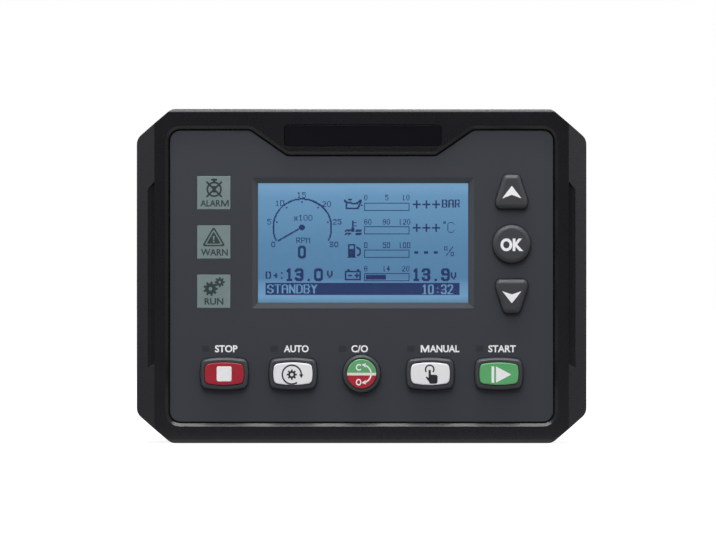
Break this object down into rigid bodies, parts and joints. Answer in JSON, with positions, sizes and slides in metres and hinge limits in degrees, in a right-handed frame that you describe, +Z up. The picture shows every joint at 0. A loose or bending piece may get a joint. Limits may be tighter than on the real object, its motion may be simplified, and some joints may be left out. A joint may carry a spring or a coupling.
{
  "type": "genset controller",
  "caption": "Panel-mounted engine generator controller with a blue display, lamp tiles, navigation keys, printed command keys and pluggable rear terminals.",
  "frame": {"origin": "centre of the flange's back plane, where it lies on the panel", "axes": "front faces -Y, +Y runs through the panel to the rear, +X right as seen from the front, +Z up"},
  "size_m": [0.21, 0.063, 0.156],
  "materials": {
    "bezel_black": "fine-grained satin black moulding",
    "name_plate_black": "gloss black, bare",
    "gasket_rubber": "soft black rubber",
    "face_grey": "dark grey satin moulding",
    "clear_window": "clear polished",
    "frame_steel": "plain sheet steel",
    "display_blue": "blue backlit display",
    "backlight_white": "white diffuser",
    "ribbon_amber": "amber film",
    "lens_grey": "grey translucent lens",
    "light_pipe_grey": "smoked translucent",
    "led_cream": "cream resin",
    "switch_grey": "grey moulding",
    "board_green": "green lacquer",
    "screw_steel": "zinc-plated steel",
    "chip_black": "black resin",
    "relay_blue": "blue moulding",
    "capacitor_sleeve": "shrunk sleeve",
    "cell_steel": "plain steel",
    "terminal_green": "green moulding",
    "pin_brass": "tinned brass",
    "socket_steel": "nickel-plated steel",
    "key_grey": "dark grey satin moulding",
    "cap_red": "red printed cap",
    "cap_white": "white printed cap",
    "cap_green": "green printed cap",
    "plunger_black": "black moulding",
    "housing_black": "fine-grained black moulding"
  },
  "bodies": {
    "controller": {"front_bezel": "bezel_black", "blank_name_plate": "name_plate_black", "panel_gasket": "gasket_rubber", "face_panel": "face_grey", "display_window": "clear_window", "display_frame": "frame_steel", "display_glass": "display_blue", "display_backlight": "backlight_white", "display_ribbon": "ribbon_amber", "alarm_lens": "lens_grey", "warning_lens": "lens_grey", "running_lens": "lens_grey", "status_light_pipes": "light_pipe_grey", "indicator_leds": "led_cream", "key_switches": "switch_grey", "display_board": "board_green", "display_board_screws": "screw_steel", "board_link": "chip_black", "main_board": "board_green", "main_board_screws": "screw_steel", "microcontroller": "chip_black", "relays": "relay_blue", "capacitors": "capacitor_sleeve", "clock_cell": "cell_steel", "clock_cell_holder": "chip_black", "rear_housing": "housing_black", "housing_screws": "screw_steel", "power_header": "terminal_green", "output_header": "terminal_green", "input_header": "terminal_green", "sensing_header": "terminal_green", "power_plug": "terminal_green", "output_plug": "terminal_green", "input_plug": "terminal_green", "sensing_plug": "terminal_green", "header_pins": "pin_brass", "terminal_screws": "screw_steel", "data_socket": "socket_steel"},
    "stop_button": {"stop_key": "key_grey", "stop_plunger": "plunger_black", "stop_cap": "cap_red"},
    "auto_button": {"auto_key": "key_grey", "auto_plunger": "plunger_black", "auto_cap": "cap_white"},
    "breaker_button": {"breaker_key": "key_grey", "breaker_plunger": "plunger_black", "breaker_cap": "cap_white"},
    "manual_button": {"manual_key": "key_grey", "manual_plunger": "plunger_black", "manual_cap": "cap_white"},
    "start_button": {"start_key": "key_grey", "start_plunger": "plunger_black", "start_cap": "cap_green"},
    "up_button": {"up_key": "key_grey", "up_plunger": "plunger_black"},
    "ok_button": {"ok_key": "key_grey", "ok_plunger": "plunger_black"},
    "down_button": {"down_key": "key_grey", "down_plunger": "plunger_black"}
  },
  "joints": [
    {"name": "stop_press", "type": "slide", "parent": "controller", "child": "stop_button", "axis": [0, 1, 0], "range_m": [0, 0.001], "stiffness_N_per_m": 600, "springref_m": -0.001},
    {"name": "auto_press", "type": "slide", "parent": "controller", "child": "auto_button", "axis": [0, 1, 0], "range_m": [0, 0.001], "stiffness_N_per_m": 600, "springref_m": -0.001},
    {"name": "breaker_press", "type": "slide", "parent": "controller", "child": "breaker_button", "axis": [0, 1, 0], "range_m": [0, 0.001], "stiffness_N_per_m": 600, "springref_m": -0.001},
    {"name": "manual_press", "type": "slide", "parent": "controller", "child": "manual_button", "axis": [0, 1, 0], "range_m": [0, 0.001], "stiffness_N_per_m": 600, "springref_m": -0.001},
    {"name": "start_press", "type": "slide", "parent": "controller", "child": "start_button", "axis": [0, 1, 0], "range_m": [0, 0.001], "stiffness_N_per_m": 600, "springref_m": -0.001},
    {"name": "up_press", "type": "slide", "parent": "controller", "child": "up_button", "axis": [0, 1, 0], "range_m": [0, 0.001], "stiffness_N_per_m": 600, "springref_m": -0.001},
    {"name": "ok_press", "type": "slide", "parent": "controller", "child": "ok_button", "axis": [0, 1, 0], "range_m": [0, 0.001], "stiffness_N_per_m": 600, "springref_m": -0.001},
    {"name": "down_press", "type": "slide", "parent": "controller", "child": "down_button", "axis": [0, 1, 0], "range_m": [0, 0.001], "stiffness_N_per_m": 600, "springref_m": -0.001}
  ]
}
